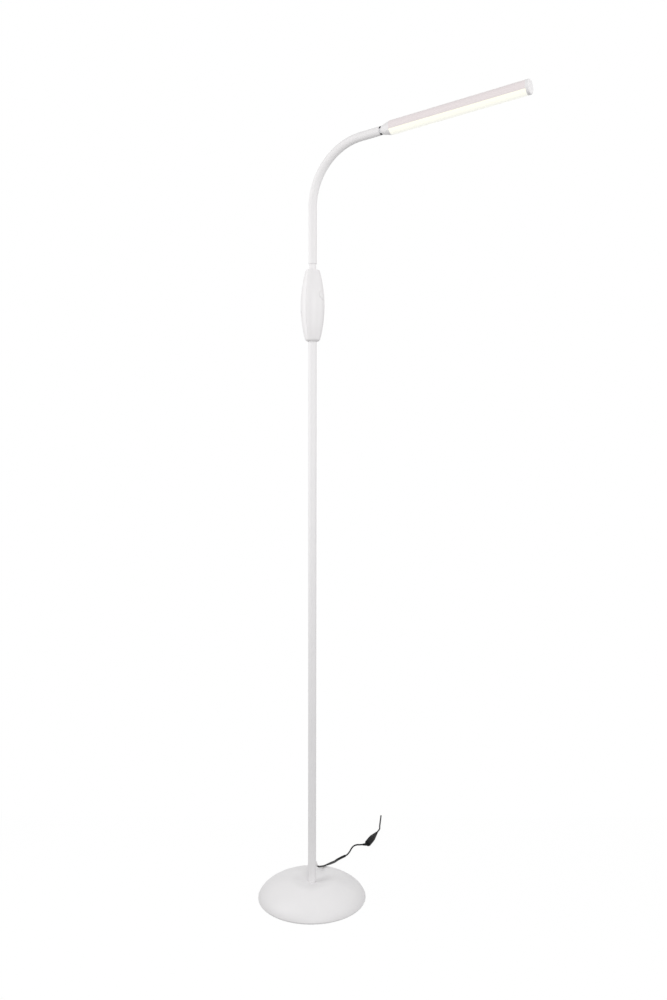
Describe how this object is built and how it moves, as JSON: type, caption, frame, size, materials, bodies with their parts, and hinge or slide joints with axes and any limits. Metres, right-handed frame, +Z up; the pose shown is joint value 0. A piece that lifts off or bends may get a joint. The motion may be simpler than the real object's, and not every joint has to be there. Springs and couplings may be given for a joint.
{
  "type": "reading floor lamp",
  "caption": "Slim floor lamp with a weighted dome base, thin pole, spindle switch box, gooseneck and a turning tubular light head for reading.",
  "frame": {"origin": "on the floor, at the centre of the base's underside, on the pole's axis", "axes": "+Z up along the pole, +X from the pole towards the head, +Y to the side where the lead leaves the pole"},
  "size_m": [0.4886, 0.5571, 1.2019],
  "materials": {
    "white_paint": "satin white powder coat",
    "white_plastic": "satin white moulding",
    "white_sleeve": "smooth white sleeve",
    "chrome": "bright chrome",
    "steel": "zinc plated",
    "ballast_iron": "rough cast",
    "foot_rubber": "matt foam rubber",
    "spreader_aluminium": "extruded",
    "board_green": "solder mask",
    "board_white": "white solder mask",
    "component_black": "moulded epoxy",
    "light_source": "phosphor",
    "diffuser_opal": "opal, lit warm white",
    "lead_black": "smooth black sheath",
    "connector_black": "satin black moulding",
    "contact_brass": "nickel plated",
    "pin_steel": "nickel plated"
  },
  "bodies": {
    "stand": {"floor_pad": "foot_rubber", "base_plate": "steel", "base_ballast": "ballast_iron", "base_cover": "white_paint", "base_screws": "steel", "pole_bolt": "steel", "bolt_washer": "steel", "pole_foot_insert": "steel", "pole_lower": "white_paint", "pole_joiner": "steel", "pole_upper": "white_paint", "cord_grommet": "white_plastic", "pole_wire": "lead_black", "box_front_shell": "white_plastic", "box_rear_shell": "white_plastic", "box_screws": "steel", "box_spine": "spreader_aluminium", "control_board": "board_green", "board_components": "component_black", "switch_body": "component_black", "neck_ferrule": "white_paint", "lamp_lead": "lead_black", "dc_socket": "connector_black", "dc_plug": "connector_black", "dc_barrel": "contact_brass", "adapter_lead": "lead_black", "adapter_coil": "lead_black", "coil_tie": "connector_black", "adapter_tail": "lead_black", "adapter_relief": "lead_black", "adapter_front_case": "connector_black", "adapter_rear_case": "connector_black", "adapter_pins": "pin_steel", "neck_link_01": "white_sleeve"},
    "button": {"touch_button": "white_plastic", "switch_plunger": "white_plastic"},
    "neck_2": {"neck_link_02": "white_sleeve"},
    "neck_3": {"neck_link_03": "white_sleeve"},
    "neck_4": {"neck_link_04": "white_sleeve"},
    "neck_5": {"neck_link_05": "white_sleeve"},
    "neck_6": {"neck_link_06": "white_sleeve"},
    "neck_7": {"neck_link_07": "white_sleeve"},
    "neck_8": {"neck_link_08": "white_sleeve"},
    "neck_9": {"neck_link_09": "white_sleeve", "swivel_ring": "chrome", "swivel_spindle": "steel", "swivel_clip": "steel"},
    "head": {"head_cone": "white_plastic", "head_housing": "white_plastic", "led_carrier": "spreader_aluminium", "led_strip": "board_white", "led_chips": "light_source", "diffuser": "diffuser_opal", "end_cap": "white_plastic"}
  },
  "joints": [
    {"name": "button_press", "type": "slide", "parent": "stand", "child": "button", "axis": [-1, 0, 0], "range_m": [0, 0.001], "stiffness_N_per_m": 400, "springref_m": -0.002},
    {"name": "neck_bend_1", "type": "hinge", "parent": "stand", "child": "neck_2", "pos_m": [0, 0, 1.02426], "axis": [0, 1, 0], "range_deg": [-20, 20]},
    {"name": "neck_sway_1", "type": "hinge", "parent": "neck_2", "child": "neck_3", "pos_m": [0, 0, 1.05252], "axis": [1, 0, 0], "range_deg": [-15, 15]},
    {"name": "neck_bend_2", "type": "hinge", "parent": "neck_3", "child": "neck_4", "pos_m": [0, 0, 1.08078], "axis": [0, 1, 0], "range_deg": [-20, 20]},
    {"name": "neck_sway_2", "type": "hinge", "parent": "neck_4", "child": "neck_5", "pos_m": [0.0042, 0, 1.10861], "axis": [0.9538, 0, -0.3005], "range_deg": [-15, 15]},
    {"name": "neck_bend_3", "type": "hinge", "parent": "neck_5", "child": "neck_6", "pos_m": [0.01671, 0, 1.13382], "axis": [0, 1, 0], "range_deg": [-20, 20]},
    {"name": "neck_sway_3", "type": "hinge", "parent": "neck_6", "child": "neck_7", "pos_m": [0.03634, 0, 1.154], "axis": [0.6003, 0, -0.7998], "range_deg": [-15, 15]},
    {"name": "neck_bend_4", "type": "hinge", "parent": "neck_7", "child": "neck_8", "pos_m": [0.06119, 0, 1.16721], "axis": [0, 1, 0], "range_deg": [-20, 20]},
    {"name": "neck_sway_4", "type": "hinge", "parent": "neck_8", "child": "neck_9", "pos_m": [0.08889, 0, 1.17232], "axis": [0.0774, 0, -0.997], "range_deg": [-15, 15]},
    {"name": "head_turn", "type": "hinge", "parent": "neck_9", "child": "head", "pos_m": [0.11706, 0, 1.17451], "axis": [0.997, 0, 0.0774], "range_deg": [-90, 90]}
  ],
  "couplings": [
    {"joint": "neck_bend_2", "follows": "neck_bend_1", "ratio": 1},
    {"joint": "neck_bend_3", "follows": "neck_bend_1", "ratio": 1},
    {"joint": "neck_bend_4", "follows": "neck_bend_1", "ratio": 1},
    {"joint": "neck_sway_2", "follows": "neck_sway_1", "ratio": 1},
    {"joint": "neck_sway_3", "follows": "neck_sway_1", "ratio": 1},
    {"joint": "neck_sway_4", "follows": "neck_sway_1", "ratio": 1}
  ]
}
